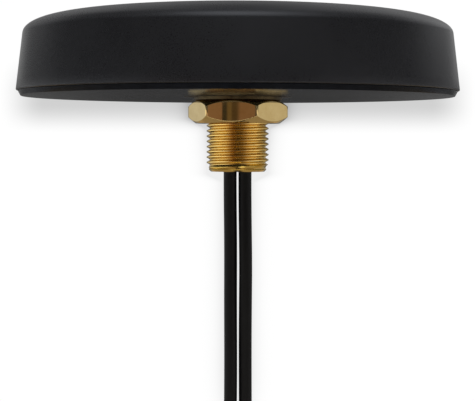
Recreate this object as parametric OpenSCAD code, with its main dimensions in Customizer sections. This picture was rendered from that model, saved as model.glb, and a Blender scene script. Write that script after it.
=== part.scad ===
// Screw-mount GNSS and cellular antenna: a low round housing on a hollow threaded stud,
// with two coaxial leads that leave through the stud and end in screw-on RF plugs.
// Millimetres, +Z up. The origin is on the stud's axis, in the plane where the gasket
// meets the panel, so the housing is above it and the stud, nut and leads are below.

/* [Housing] */
// Widest diameter of the housing, at its lower edge
housing_d = 84; // [84:0.5:96]
// Height of the housing above the panel
housing_h = 15.7; // [15.7:0.1:19]
// Wall thickness of the cover
wall = 2.2; // [1.8:0.1:2.3]
// Thickness of the gasket between housing and panel
gasket_t = 1; // [0.8:0.1:1.2]
// Number of screws that hold the base plate to the cover
housing_screw_count = 6; // [4:1:8]

/* [Stud and nut] */
// Major diameter of the stud's fine M12 thread
stud_d = 11.86; // [11.8:0.01:11.96]
// Length of the stud below the panel plane
stud_l = 14.25; // [13:0.25:24]
// Diameter of the cable passage through the stud
stud_bore_d = 7.2; // [6.8:0.1:7.4]
// Width of the hex nut across its flats
nut_af = 16.7; // [16.7:0.1:18]
// Height of the hex nut
nut_h = 4.4; // [4:0.1:5]
// Turn of the nut about the stud, in degrees
nut_turn = -8.2; // [-30:0.1:30]
// Thickness of the toothed lock washer
washer_t = 0.6; // [0.5:0.1:1]

/* [Leads] */
// Outside diameter of each coaxial lead
lead_d = 2.5; // [2.2:0.05:2.6]
// Distance between the two leads' centres at the stud
lead_pitch = 2.84; // [2.8:0.02:2.9]
// Straight run of each lead below its bending point
lead_run = 31; // [20:1:120]

/* [Antennas] */
// Side of the square ceramic patch
patch_side = 25; // [18:0.5:25]
// Height of the ceramic patch
patch_h = 4; // [2:0.5:4]
// Half of the arc, in degrees, that the cellular radiator covers
radiator_half_arc = 62; // [40:1:75]

/* [Hidden] */
$fn = 96;

gap = 0.03;             // room left between pieces that touch when assembled
eps = 0.01;             // overshoot of a cutting body past the face it cuts
gnss = -1;              // side of the axis, along X, that each lead leaves on
cell = 1;

housing_r = housing_d / 2;

// Cover: a leaning side wall, a superelliptic shoulder, then a nearly flat crown
side_top_r = housing_r - 1.32;
side_top_z = 11.9;
crown_r = housing_r - 16;
crown_z = housing_h - 0.2;
shoulder_power = 2.2;
shoulder_steps = 12;
crown_steps = 4;
lip_r = 0.3;            // rounding of the cover's lower outer edge
lip_steps = 4;

// Base plate, closed against a ledge inside the cover
base_t = 2;
base_top_z = gasket_t + base_t;
skirt_r = housing_r - 2;
base_r = skirt_r - 0.15;
ledge_r = skirt_r - 2.4;
ledge_t = 1.2;
hub_r = 10.3;
seal_groove_r = housing_r - 3.3;
seal_r = 0.45;
seal_groove_w = 1.2;
seal_groove_depth = 0.89;

// Gasket: stops short of the cover's edge, with a rounded lower corner
gasket_r = housing_r - 1;
gasket_edge_r = 0.4;
gasket_edge_steps = 5;

// Screws that hold the base plate to the cover
housing_screw_r = housing_r - 7.2;
boss_r = 2.6;
boss_top_z = housing_h - 2.1;
screw_r = 1.25;
screw_head_r = 2.3;
screw_head_h = 1;
housing_screw_l = 5.6;

// Stud: thread below the panel, unthreaded tip, hexagonal flange inside the housing
stud_r = stud_d / 2;
bore_r = stud_bore_d / 2;
tip_r = stud_r - 0.53;
tip_l = 1.3;
tip_chamfer = 0.6;
flange_af = 17;
flange_t = 1.4;
flange_z = 1.7;
flange_top_z = flange_z + flange_t;
pocket_play = 0.15;
stud_seal_r = 0.42;
stud_seal_ring_r = 7.2;

// Nut and lock washer, tight against the base plate's hub
thread_play = 0.05;
washer_r = 8.5;
washer_ring_r = 7;
tooth_count = 12;
tooth_w = 1.5;
nut_top_z = -washer_t - 2 * gap;
nut_chamfer_r = 0.48 * nut_af;
nut_chamfer_slope = 37;

// Circuit board and what stands on it
board_r = housing_r - 10.5;
board_t = 1;
board_z = base_top_z + 3.9;
board_top_z = board_z + board_t;
board_screw_xy = 15.9;
board_screw_l = 4.4;
post_r = 2.4;
tape_t = 0.2;
patch_z = board_top_z + tape_t + 2 * gap;
patch_top_z = patch_z + patch_h;
electrode_t = 0.05;
feed_x = -4;
feed_r = 0.45;
shield_box = [14, 12, 2.1];
shield_centre = [-13, 0];
shield_sheet = 0.2;
radiator_r = board_r - 2.3;
radiator_t = 0.25;
radiator_h = 4.6;
carrier_t = 1.3;
carrier_h = 4;

// Cables inside the housing: up the stud, round a bend, then out under the board
lead_r = lead_d / 2;
lead_x = lead_pitch / 2;
inner_bend_r = 3.6;
inner_bend_z = 1.2;
inner_run = 11.4;
cable_z = inner_bend_z + inner_bend_r;
braid_r = 0.85;
braid_l = 2.2;
dielectric_r = 0.75;
dielectric_l = 0.9;
conductor_r = 0.25;
conductor_bend_r = 0.7;
conductor_y = inner_bend_r + inner_run + braid_l + dielectric_l + 0.5 + conductor_bend_r;
clamp_y = 12;
clamp_w = 3;
clamp_screw_x = 4.2;
clamp_top_z = board_z - 0.2;

// Grommet and potting in the stud's bore
grommet_l = 5;
grommet_z = -stud_l + 0.3;
potting_z = grommet_z + grommet_l + gap;
potting_top_z = 0.4;

// Leads: each swings about its bending point, hangs down, then spreads away from the other
lead_pivot_z = -stud_l - 12.75;
spread_bend_r = 12;
spread_angle = atan2(3, 4);
lead_tail = 9;

// RF plug, measured from the end of the lead's jacket, along the lead
ferrule_back = 2.5;
ferrule_front = 5;
ferrule_r = 1.75;
boot_back = 9;
boot_r = 2.15;
boot_lead_r = 1.7;
plug_neck_r = 1.22;
plug_shoulder_r = 2.9;
plug_shoulder_l = 1.9;
plug_barrel_r = 2.3;
plug_front = 12.3;
plug_bore_r = 2.05;
ring_back = 8;
ring_t = 0.5;
ring_in_r = 1.95;
ring_out_r = 2.65;
coupling_af = 8;
coupling_back = 7;
coupling_front = 14.9;
coupling_thread_r = 3;
coupling_thread_back = 10.2;
face_seal_t = 0.8;
contact_r = 0.46;
contact_back = 3;
contact_front = 13.7;

// ---- Shared shapes ----

// Points from (a, 0) to (0, b) along a quarter of a superellipse
function superellipse(a, b, power, steps) = [
    for (i = [0 : steps])
        let (t = 90 * i / steps)
        [a * pow(cos(t), 2 / power), b * pow(sin(t), 2 / power)]
];

// Points of an arc about centre, from one angle to another
function arc(centre, r, from, to, steps) = [
    for (i = [0 : steps])
        let (t = from + (to - from) * i / steps)
        centre + r * [cos(t), sin(t)]
];

function reversed(list) = [for (i = [len(list) - 1 : -1 : 0]) list[i]];

// Shoulder and crown of the cover, moved in by inset, from the side wall up to the axis
function cap_outline(inset) = concat(
    [for (p = superellipse(side_top_r - inset - crown_r, crown_z - inset - side_top_z,
                           shoulder_power, shoulder_steps))
        [crown_r + p.x, side_top_z + p.y]],
    [for (i = [1 : crown_steps])
        let (r = crown_r * (1 - i / crown_steps))
        [r, housing_h - inset - (housing_h - crown_z) * pow(r / crown_r, 2)]]
);

// Outer radius of the cover's side wall at height z
function side_r(z) = housing_r
    - (housing_r - side_top_r) * (z - gasket_t) / (side_top_z - gasket_t);

module ring(outer_r, inner_r, h) {
    difference() {
        cylinder(r = outer_r, h = h);
        translate([0, 0, -eps]) cylinder(r = inner_r, h = h + 2 * eps);
    }
}

module hexagon(af, h) {
    cylinder(r = af / sqrt(3), h = h, $fn = 6);
}

module torus(ring_r, r) {
    rotate_extrude() translate([ring_r, 0]) circle(r, $fn = 24);
}

module around(count, r, start = 0) {
    for (i = [0 : count - 1]) rotate([0, 0, start + 360 * i / count]) translate([r, 0, 0]) children();
}

// Screw with its head's underside at z = 0, the head below it and the shank above
module pan_screw(shank_r, shank_l, head_r, head_h) {
    difference() {
        union() {
            translate([0, 0, -head_h]) cylinder(r1 = head_r - 0.35, r2 = head_r, h = 0.35);
            translate([0, 0, 0.35 - head_h]) cylinder(r = head_r, h = head_h - 0.35);
            cylinder(r = shank_r, h = shank_l - 0.5);
            translate([0, 0, shank_l - 0.5]) cylinder(r1 = shank_r, r2 = shank_r / 2, h = 0.5);
        }
        for (turn = [0, 90]) rotate([0, 0, turn])
            translate([-head_r * 0.6, -0.2, -head_h - eps]) cube([head_r * 1.2, 0.4, head_h * 0.6]);
    }
}

// A round bar laid along a path that starts at the origin, heading down. Each step is
// [length] for a straight run, or [radius, angle] for a bend, towards +X if angle is positive.
// Children are placed at the path's end, heading along it. With r = 0 nothing is drawn on the way.
module along(steps, r = 0, i = 0) {
    if (i == len(steps)) {
        children();
    } else if (len(steps[i]) == 1) {
        run = steps[i][0];
        if (r > 0) translate([0, 0, -run]) cylinder(r = r, h = run);
        translate([0, 0, -run]) along(steps, r, i + 1) children();
    } else {
        bend_r = steps[i][0];
        angle = steps[i][1];
        turn = abs(angle);
        if (r > 0) rotate([0, 0, angle < 0 ? 180 : 0]) translate([bend_r, 0, 0])
            rotate([90, 0, 0]) rotate([0, 0, 180])
            rotate_extrude(angle = turn) translate([bend_r, 0]) circle(r, $fn = 48);
        translate([sign(angle) * bend_r * (1 - cos(turn)), 0, -bend_r * sin(turn)])
            rotate([0, -angle, 0]) along(steps, r, i + 1) children();
    }
}

// ---- Housing ----

module cover() {
    inner_side_z = base_top_z + gap + ledge_t;
    outline = concat(
        arc([housing_r - lip_r, gasket_t + lip_r], lip_r, -90, 0, lip_steps),
        cap_outline(0),
        reversed(cap_outline(wall)),
        [[side_r(inner_side_z) - wall, inner_side_z], [ledge_r, inner_side_z],
         [ledge_r, base_top_z + gap], [skirt_r, base_top_z + gap], [skirt_r, gasket_t]]
    );
    color("#1f1f21") difference() {
        union() {
            rotate_extrude() polygon(outline);
            around(housing_screw_count, housing_screw_r, 30) {
                translate([0, 0, base_top_z + gap]) cylinder(r = boss_r, h = boss_top_z - base_top_z - gap);
                translate([boss_r - 1, -0.6, inner_side_z - 0.5]) cube([3.4, 1.2, side_top_z - inner_side_z]);
            }
        }
        around(housing_screw_count, housing_screw_r, 30)
            translate([0, 0, base_top_z]) cylinder(r = screw_r + thread_play, h = 6);
    }
}

module base_plate() {
    color("#19191b") difference() {
        union() {
            translate([0, 0, gasket_t]) cylinder(r = base_r, h = base_t);
            cylinder(r = hub_r, h = gasket_t + 1);
            around(4, board_screw_xy * sqrt(2), 45)
                translate([0, 0, base_top_z - 1]) cylinder(r = post_r, h = board_z - gap - base_top_z + 1);
            for (turn = [20, 160, 200, 340]) rotate([0, 0, turn])
                translate([12, -0.5, base_top_z - 0.5]) cube([24, 1, 1]);
        }
        translate([0, 0, -eps]) cylinder(r = stud_r + thread_play, h = base_top_z + 1);
        translate([0, 0, flange_z]) hexagon(flange_af + pocket_play, base_top_z);
        translate([0, 0, flange_z - 2 * stud_seal_r - gap])
            ring(stud_seal_ring_r + stud_seal_r + gap, stud_seal_ring_r - stud_seal_r - gap, 1);
        translate([0, 0, base_top_z - seal_groove_depth])
            ring(seal_groove_r + seal_groove_w / 2, seal_groove_r - seal_groove_w / 2, 1);
        around(housing_screw_count, housing_screw_r, 30) {
            cylinder(r = screw_r + 0.2, h = base_top_z + 1);
            cylinder(r = screw_head_r + 0.2, h = gasket_t + screw_head_h + gap);
        }
        around(4, board_screw_xy * sqrt(2), 45)
            translate([0, 0, base_top_z]) cylinder(r = 0.95, h = board_z);
        for (side = [gnss, cell]) at_clamp_screw(side)
            translate([0, 0, base_top_z - 1.2]) cylinder(r = 0.85, h = 2);
    }
}

module gasket() {
    outline = concat(
        [[hub_r + 0.2, gasket_t - gap], [hub_r + 0.2, 0]],
        arc([gasket_r - gasket_edge_r, gasket_edge_r], gasket_edge_r, -90, 0, gasket_edge_steps),
        [[gasket_r, gasket_t - gap]]
    );
    color("#202022") rotate_extrude() polygon(outline);
}

module cover_seal() {
    color("#3a2620") translate([0, 0, base_top_z + gap - seal_r - eps]) torus(seal_groove_r, seal_r);
}

module housing_screws() {
    color("#b9bcc0") around(housing_screw_count, housing_screw_r, 30)
        translate([0, 0, gasket_t + screw_head_h])
        pan_screw(screw_r, housing_screw_l, screw_head_r, screw_head_h);
}

// ---- Stud, nut and washer ----

module stud() {
    color("#c39a45") difference() {
        union() {
            translate([0, 0, -stud_l]) cylinder(r1 = tip_r - tip_chamfer, r2 = tip_r, h = tip_chamfer);
            translate([0, 0, tip_chamfer - stud_l]) cylinder(r = tip_r, h = tip_l - tip_chamfer);
            translate([0, 0, tip_l - stud_l]) cylinder(r1 = tip_r, r2 = stud_r, h = 0.3);
            translate([0, 0, tip_l + 0.3 - stud_l]) cylinder(r = stud_r, h = stud_l - tip_l + flange_z);
            translate([0, 0, flange_z + gap]) hexagon(flange_af, flange_t - gap);
        }
        translate([0, 0, -stud_l - eps]) cylinder(r = bore_r, h = stud_l + flange_top_z + 2 * eps);
        translate([0, 0, flange_top_z - 0.5]) cylinder(r1 = bore_r, r2 = bore_r + 0.5 + eps, h = 0.5 + eps);
    }
}

module stud_seal() {
    color("#3a2620") translate([0, 0, flange_z - stud_seal_r]) torus(stud_seal_ring_r, stud_seal_r);
}

// Fills the stud's bore round both cables, between two heights
module bore_plug(from_z, to_z) {
    difference() {
        translate([0, 0, from_z]) cylinder(r = bore_r - gap, h = to_z - from_z);
        for (side = [gnss, cell])
            translate([side * lead_x, 0, from_z - eps]) cylinder(r = lead_r + gap, h = to_z - from_z + 2 * eps);
    }
}

module grommet() {
    color("#232325") bore_plug(grommet_z, grommet_z + grommet_l);
}

module potting() {
    color("#3c3a33") bore_plug(potting_z, potting_top_z);
}

module lock_washer() {
    bore = stud_r + thread_play + 0.05;
    color("#b7a368") translate([0, 0, -washer_t - gap]) difference() {
        union() {
            ring(washer_r, washer_ring_r, washer_t);
            around(tooth_count, bore) translate([-0.5, -tooth_w / 2, 0])
                cube([washer_ring_r - bore + 0.8, tooth_w, washer_t]);
        }
        translate([0, 0, -eps]) cylinder(r = bore, h = washer_t + 2 * eps);
    }
}

// Cone-chamfered body of revolution that trims a hexagon's corners at both faces
module chamfer_body(af, face_r, h, slope) {
    corner_r = af / sqrt(3) + 0.5;
    drop = (corner_r - face_r) * tan(slope);
    rotate_extrude() polygon([[0, 0], [face_r, 0], [corner_r, drop],
                              [corner_r, h - drop], [face_r, h], [0, h]]);
}

module hex_nut() {
    bore = stud_r + thread_play;
    sink = 0.4;
    color("#c8b27c") translate([0, 0, nut_top_z - nut_h]) rotate([0, 0, nut_turn]) difference() {
        intersection() {
            hexagon(nut_af, nut_h);
            chamfer_body(nut_af, nut_chamfer_r, nut_h, nut_chamfer_slope);
        }
        translate([0, 0, -eps]) cylinder(r = bore, h = nut_h + 2 * eps);
        translate([0, 0, -eps]) cylinder(r1 = bore + sink, r2 = bore, h = sink);
        translate([0, 0, nut_h - sink + eps]) cylinder(r1 = bore, r2 = bore + sink, h = sink);
    }
}

// ---- Board and antennas ----

module board() {
    color("#1f5a34") translate([0, 0, board_z]) difference() {
        cylinder(r = board_r, h = board_t);
        around(4, board_screw_xy * sqrt(2), 45) translate([0, 0, -eps]) cylinder(r = 1.2, h = 2);
        translate([feed_x, 0, -eps]) cylinder(r = feed_r + 0.2, h = 2);
        for (side = [gnss, cell])
            translate([side * lead_x, side * conductor_y, -eps]) cylinder(r = conductor_r + 0.15, h = 2);
    }
}

module board_screws() {
    color("#c4c6c9") around(4, board_screw_xy * sqrt(2), 45)
        translate([0, 0, board_top_z + gap]) rotate([180, 0, 0]) pan_screw(0.9, board_screw_l, 1.9, 0.9);
}

module square_sheet(side, h, corner = 0) {
    difference() {
        translate([-side / 2, -side / 2, 0]) cube([side, side, h]);
        if (corner > 0) for (turn = [45, 225]) rotate([0, 0, turn])
            translate([side / sqrt(2) - corner / 2, -side / 2, -eps]) cube([corner, side, h + 2 * eps]);
    }
}

module patch_tape() {
    color("#d8d4c4") translate([0, 0, board_top_z + gap]) difference() {
        square_sheet(patch_side - 1, tape_t);
        translate([feed_x, 0, -eps]) cylinder(r = 1.5, h = tape_t + 2 * eps);
    }
}

module patch_ceramic() {
    color("#b9a98c") translate([0, 0, patch_z]) difference() {
        square_sheet(patch_side, patch_h);
        translate([feed_x, 0, -eps]) cylinder(r = feed_r + 0.1, h = patch_h + 2 * eps);
    }
}

// Square with two cut corners, which is what makes the patch circularly polarised
module patch_electrode() {
    color("#c9c9c6") translate([0, 0, patch_top_z + gap / 2]) difference() {
        square_sheet(patch_side - 4, electrode_t, 3);
        translate([feed_x, 0, -eps]) cylinder(r = feed_r + 0.1, h = 1);
    }
}

module feed_pin() {
    head_z = patch_top_z + electrode_t + gap;
    color("#cfcfcc") translate([feed_x, 0, 0]) {
        translate([0, 0, board_z - 0.9]) cylinder(r = feed_r, h = head_z - board_z + 0.9 + eps);
        translate([0, 0, head_z]) cylinder(r1 = 1.1, r2 = 0.8, h = 0.25);
    }
}

module lna_shield() {
    inner = shield_box - [2 * shield_sheet, 2 * shield_sheet, shield_sheet];
    color("#b4b7b8") translate([shield_centre.x, shield_centre.y, board_z - gap - shield_box.z]) difference() {
        translate([-shield_box.x / 2, -shield_box.y / 2, 0]) cube(shield_box);
        translate([-inner.x / 2, -inner.y / 2, shield_sheet]) cube(inner + [0, 0, eps]);
        for (x = [-4.5 : 3 : 4.5], y = [-3, 0, 3])
            translate([x, y, -eps]) cylinder(r = 0.6, h = 1, $fn = 24);
    }
}

// A chip of the given size, hanging from the board's underside
module hanging_chip(x, y, size) {
    translate([x - size.x / 2, y - size.y / 2, board_z - gap - size.z]) cube(size);
}

module lna_components() {
    passive = [1, 0.5, 0.35];
    color("#2b2b2e") translate([shield_centre.x, shield_centre.y, 0]) {
        hanging_chip(2.6, 0, [2, 2, 0.75]);
        hanging_chip(-2.8, 0, [2.4, 2.4, 0.8]);
        for (y = [-3.4, 3.4]) hanging_chip(0, y, [1.9, 1.4, 0.6]);
        for (x = [-5, -2.8, 2.8, 5], y = [-4.6, 4.6]) hanging_chip(x, y, passive);
    }
}

module matching_components() {
    color("#8b7a63") for (i = [-2 : 2])
        translate([radiator_r - 4.6, 1.6 * i - 0.5, board_top_z + gap]) cube([0.5, 1, 0.4]);
}

// Arc of rectangular section on the board, centred on +X
module board_arc(inner_r, t, h, half_arc) {
    rotate([0, 0, -half_arc]) rotate_extrude(angle = 2 * half_arc)
        translate([inner_r, 0]) square([t, h]);
}

// Bent sheet: a wide arc with a tuning slot, standing on two feet
module radiator() {
    foot_angles = [4, radiator_half_arc - 3];
    color("#c9a86a") translate([0, 0, board_top_z + gap]) {
        difference() {
            translate([0, 0, 0.6]) board_arc(radiator_r, radiator_t, radiator_h - 0.6, radiator_half_arc);
            translate([0, 0, 2]) board_arc(radiator_r - 1, 3, 0.9, radiator_half_arc - 12);
        }
        for (turn = foot_angles) rotate([0, 0, turn])
            translate([radiator_r + 0.02, -0.9, 0]) cube([radiator_t - 0.04, 1.8, 0.8]);
    }
}

module radiator_carrier() {
    stand = 8;
    color("#d9d6cb") translate([0, 0, board_top_z + gap]) difference() {
        board_arc(radiator_r - gap - carrier_t, carrier_t, carrier_h, radiator_half_arc + 2);
        for (turn = [-48 : 16 : 48]) rotate([0, 0, turn])
            translate([radiator_r - 3, -stand / 4, 0.8]) cube([4, stand / 2, carrier_h - 2]);
    }
}

// ---- Cables inside the housing ----

// Places children where a cable starts, above its bending point, heading up the stud,
// so that a bend towards +X carries it to its own side under the board
module from_pivot(side) {
    translate([side * lead_x, 0, lead_pivot_z + lead_r + gap])
        rotate([0, 0, side * 90]) rotate([180, 0, 0]) children();
}

inner_path = [[inner_bend_z - lead_pivot_z - lead_r - gap], [inner_bend_r, 90], [inner_run]];

module gnss_cable() {
    color("#151516") from_pivot(gnss) along(inner_path, lead_r);
}

module cell_cable() {
    color("#151516") from_pivot(cell) along(inner_path, lead_r);
}

module at_cable_ends(steps = []) {
    for (side = [gnss, cell]) from_pivot(side) along(concat(inner_path, steps)) children();
}

module coax_braids() {
    color("#b98b6a") at_cable_ends([[gap]]) along([[braid_l - gap]], braid_r);
}

module coax_dielectrics() {
    color("#e9e7df") at_cable_ends([[braid_l + gap]]) along([[dielectric_l - gap]], dielectric_r);
}

module coax_conductors() {
    color("#c8c3b5") at_cable_ends([[braid_l + dielectric_l + gap]])
        along([[0.5 - gap], [conductor_bend_r, -90],
               [board_top_z + 0.4 - cable_z - conductor_bend_r]], conductor_r);
}

module solder_joints() {
    color("#bfc1c2") for (side = [gnss, cell])
        translate([side * lead_x, side * conductor_y, board_top_z + gap]) difference() {
            cylinder(r1 = 0.8, r2 = conductor_r + 0.1, h = 0.35);
            translate([0, 0, -eps]) cylinder(r = conductor_r + gap, h = 1);
        }
}

module ground_clips() {
    clip = [3.4, 1.8, board_z - gap - cable_z + 1.2];
    color("#c3c6c8") for (side = [gnss, cell])
        translate([side * lead_x, side * (inner_bend_r + inner_run + braid_l / 2), 0]) difference() {
            translate([-clip.x / 2, -clip.y / 2, board_z - gap - clip.z]) cube(clip);
            translate([0, -clip.y, cable_z]) rotate([-90, 0, 0]) cylinder(r = braid_r + gap, h = 2 * clip.y);
        }
}

module at_clamp_screw(side) {
    translate([side * (lead_x - clamp_screw_x), side * clamp_y, 0]) children();
}

module cable_clamps() {
    foot = base_top_z + gap;
    color("#2a2a2d") for (side = [gnss, cell]) difference() {
        translate([side * (lead_x - clamp_screw_x / 2) - 4.2, side * clamp_y - clamp_w / 2, foot])
            cube([8.4, clamp_w, clamp_top_z - foot]);
        translate([side * lead_x, side * clamp_y - clamp_w, cable_z])
            rotate([-90, 0, 0]) cylinder(r = lead_r + gap, h = 2 * clamp_w);
        at_clamp_screw(side) translate([0, 0, foot - 1]) cylinder(r = 0.95, h = 6);
        at_clamp_screw(side) translate([0, 0, clamp_top_z - 1]) cylinder(r = 1.7, h = 2);
    }
}

module clamp_screws() {
    color("#c4c6c9") for (side = [gnss, cell]) at_clamp_screw(side)
        translate([0, 0, clamp_top_z - 1 + gap]) rotate([180, 0, 0]) pan_screw(0.8, 3.6, 1.5, 0.8);
}

// ---- Leads and RF plugs ----

lead_path = [[lead_run], [spread_bend_r, spread_angle], [spread_bend_r, -spread_angle], [lead_tail]];

// Places children at a lead's bending point, with +X pointing away from the other lead
module at_pivot(side) {
    rotate([0, 0, side < 0 ? 180 : 0]) translate([lead_x, 0, lead_pivot_z]) children();
}

// Places children at the end of a lead's jacket, with z = 0 there and the plug along -Z
module at_lead_end(side) {
    at_pivot(side) along(lead_path) children();
}

// Turned piece along -Z, from one distance to another
module turned(r, from, to) {
    translate([0, 0, -to]) cylinder(r = r, h = to - from);
}

module lead(side) {
    color("#151516") at_pivot(side) {
        sphere(r = lead_r, $fn = 48);
        along(lead_path, lead_r);
    }
}

module boot(side) {
    color("#1b1b1c") at_lead_end(side) difference() {
        union() {
            turned(boot_lead_r, -boot_back, -ferrule_back);
            turned(boot_r, -ferrule_back - 0.4, ferrule_front - 0.2);
        }
        turned(lead_r + gap, -boot_back - 1, -ferrule_back);
        turned(ferrule_r + gap, -ferrule_back - gap, ferrule_front);
    }
}

module ferrule(side) {
    color("#c9b26a") at_lead_end(side) difference() {
        turned(ferrule_r, -ferrule_back, ferrule_front);
        turned(lead_r + gap, -ferrule_back - 1, ferrule_front + 1);
    }
}

module plug_body(side) {
    color("#d3b05e") at_lead_end(side) difference() {
        union() {
            turned(plug_neck_r, gap, ferrule_front + 0.2);
            turned(plug_shoulder_r, ferrule_front + 0.1, ferrule_front + plug_shoulder_l);
            turned(plug_barrel_r, ferrule_front + 1, plug_front);
        }
        turned(dielectric_r, -1, ferrule_front + 1);
        turned(plug_bore_r - 0.6, ferrule_front + 0.8, ring_back + 2);
        turned(plug_bore_r, ring_back + 2 - eps, plug_front + 1);
        difference() {
            turned(plug_barrel_r + 1, ring_back, ring_back + ring_t + 2 * gap);
            turned(ring_in_r, ring_back - 1, ring_back + 2);
        }
    }
}

module insulator(side) {
    color("#efeee8") at_lead_end(side) difference() {
        union() {
            turned(plug_bore_r - 0.6 - gap, ferrule_front + 1 + gap, ring_back + 2.1);
            turned(plug_bore_r - gap, ring_back + 2 + gap, plug_front - gap);
        }
        turned(contact_r + gap, ferrule_front, plug_front + 1);
    }
}

module contact(side) {
    color("#d9b65c") at_lead_end(side) {
        turned(contact_r, contact_back, contact_front - 0.5);
        translate([0, 0, -contact_front]) cylinder(r1 = 0.15, r2 = contact_r, h = 0.5);
    }
}

module retaining_ring(side) {
    color("#b08a3e") at_lead_end(side) difference() {
        turned(ring_out_r, ring_back + gap, ring_back + gap + ring_t);
        turned(ring_in_r + gap, ring_back - 1, ring_back + 2);
        translate([0, -0.4, -ring_back - 1]) cube([4, 0.8, 2]);
    }
}

module face_seal(side) {
    color("#a8442f") at_lead_end(side) difference() {
        turned(coupling_thread_r - 0.12, coupling_thread_back + gap, coupling_thread_back + face_seal_t);
        turned(plug_barrel_r + gap, coupling_thread_back - 1, coupling_front);
    }
}

module coupling_nut(side) {
    h = coupling_front - coupling_back;
    color("#cdb56e") at_lead_end(side) difference() {
        translate([0, 0, -coupling_front]) intersection() {
            hexagon(coupling_af, h);
            chamfer_body(coupling_af, 0.47 * coupling_af, h, 35);
        }
        turned(plug_barrel_r + 0.1, coupling_back - 1, coupling_front);
        turned(ring_out_r + 0.1, ring_back - 0.1, ring_back + ring_t + 0.3);
        turned(coupling_thread_r, coupling_thread_back, coupling_front + 1);
        difference() {
            turned(coupling_af, coupling_front - 1.3, coupling_front - 1);
            turned(coupling_af / 2 - 0.25, coupling_front - 2, coupling_front);
        }
    }
}

module gnss_lead() { lead(gnss); }
module gnss_boot() { boot(gnss); }
module gnss_ferrule() { ferrule(gnss); }
module gnss_plug_body() { plug_body(gnss); }
module gnss_insulator() { insulator(gnss); }
module gnss_contact() { contact(gnss); }
module gnss_retaining_ring() { retaining_ring(gnss); }
module gnss_face_seal() { face_seal(gnss); }
module gnss_coupling_nut() { coupling_nut(gnss); }
module cell_lead() { lead(cell); }
module cell_boot() { boot(cell); }
module cell_ferrule() { ferrule(cell); }
module cell_plug_body() { plug_body(cell); }
module cell_insulator() { insulator(cell); }
module cell_contact() { contact(cell); }
module cell_retaining_ring() { retaining_ring(cell); }
module cell_face_seal() { face_seal(cell); }
module cell_coupling_nut() { coupling_nut(cell); }

cover();
base_plate();
gasket();
cover_seal();
housing_screws();
stud();
stud_seal();
grommet();
potting();
lock_washer();
hex_nut();
board();
board_screws();
patch_tape();
patch_ceramic();
patch_electrode();
feed_pin();
lna_shield();
lna_components();
matching_components();
radiator();
radiator_carrier();
cable_clamps();
clamp_screws();
ground_clips();
gnss_cable();
cell_cable();
coax_braids();
coax_dielectrics();
coax_conductors();
solder_joints();
gnss_lead();
gnss_boot();
gnss_ferrule();
gnss_plug_body();
gnss_insulator();
gnss_contact();
gnss_retaining_ring();
gnss_face_seal();
gnss_coupling_nut();
cell_lead();
cell_boot();
cell_ferrule();
cell_plug_body();
cell_insulator();
cell_contact();
cell_retaining_ring();
cell_face_seal();
cell_coupling_nut();
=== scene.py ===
"""Looks of the screw-mount GNSS antenna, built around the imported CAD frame.

Shapes are worked out in millimetres, in the frame's axes, and turned into metres when a mesh is made.
Outlines are (radius, height) points about an upright axis.
"""
import math

import bmesh
import bpy
from mathutils import Matrix, Vector


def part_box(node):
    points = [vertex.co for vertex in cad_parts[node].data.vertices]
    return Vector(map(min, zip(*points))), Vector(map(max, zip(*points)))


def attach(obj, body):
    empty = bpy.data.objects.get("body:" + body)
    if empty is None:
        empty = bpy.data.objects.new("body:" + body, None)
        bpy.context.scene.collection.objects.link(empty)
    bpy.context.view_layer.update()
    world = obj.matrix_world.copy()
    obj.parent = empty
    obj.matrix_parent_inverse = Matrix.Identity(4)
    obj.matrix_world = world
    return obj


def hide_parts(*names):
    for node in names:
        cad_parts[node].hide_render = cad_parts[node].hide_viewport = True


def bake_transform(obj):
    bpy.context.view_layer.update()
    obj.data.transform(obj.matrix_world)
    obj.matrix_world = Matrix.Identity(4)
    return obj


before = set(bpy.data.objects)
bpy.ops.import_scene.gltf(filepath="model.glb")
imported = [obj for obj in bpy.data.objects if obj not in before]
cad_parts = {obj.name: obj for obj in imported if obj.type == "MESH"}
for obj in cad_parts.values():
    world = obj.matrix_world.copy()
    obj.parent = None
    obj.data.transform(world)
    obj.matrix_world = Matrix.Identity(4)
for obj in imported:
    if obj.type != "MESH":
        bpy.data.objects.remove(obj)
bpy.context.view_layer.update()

MM = 0.001
scene = bpy.context.scene


# ---------------------------------------------------------------- sizes, as in the CAD source

def span(node):
    """Lowest and highest corner of a CAD node, in millimetres."""
    low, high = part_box(node)
    return low / MM, high / MM


HOUSING_R = 42.0
HOUSING_TOP = span("cover")[1].z
HOUSING_LOW = 1.0
WALL = 2.2
SIDE_TOP_R = HOUSING_R - 1.26
SIDE_TOP_Z = 11.4
CROWN_R = HOUSING_R - 16
CROWN_Z = HOUSING_TOP - 0.2
SHOULDER_POWER = 2.3
LEDGE_R = 37.6
SKIRT_R = 40.0
LEDGE_Z = 3.03
SCREW_CIRCLE_R = 34.8
GASKET_HOLE_R = 10.5
BOARD_R = 31.5

STUD_END = span("stud")[0].z
STUD_R = 5.93
STUD_ROOT_R = 5.36
STUD_TIP_R = 5.5
STUD_FLANGE_AF = 17.0
PITCH = 1.0
BORE_R = 3.6

NUT_LOW, NUT_HIGH = (corner.z for corner in span("hex_nut"))
NUT_AF = 16.7
NUT_TURN = math.radians(-8.2)
NUT_CHAMFER_R = 0.48 * NUT_AF
NUT_CHAMFER = math.tan(math.radians(37))

SIDES = {"gnss": -1, "cell": 1}
LEAD_R = 1.25
LEAD_X = 1.42
LEAD_INNER_Z = 4.8
PLUG_X = 6.22
BOOT_Z = -81.4
COUPLING_AF = 8.0


# ---------------------------------------------------------------- mesh helpers

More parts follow.
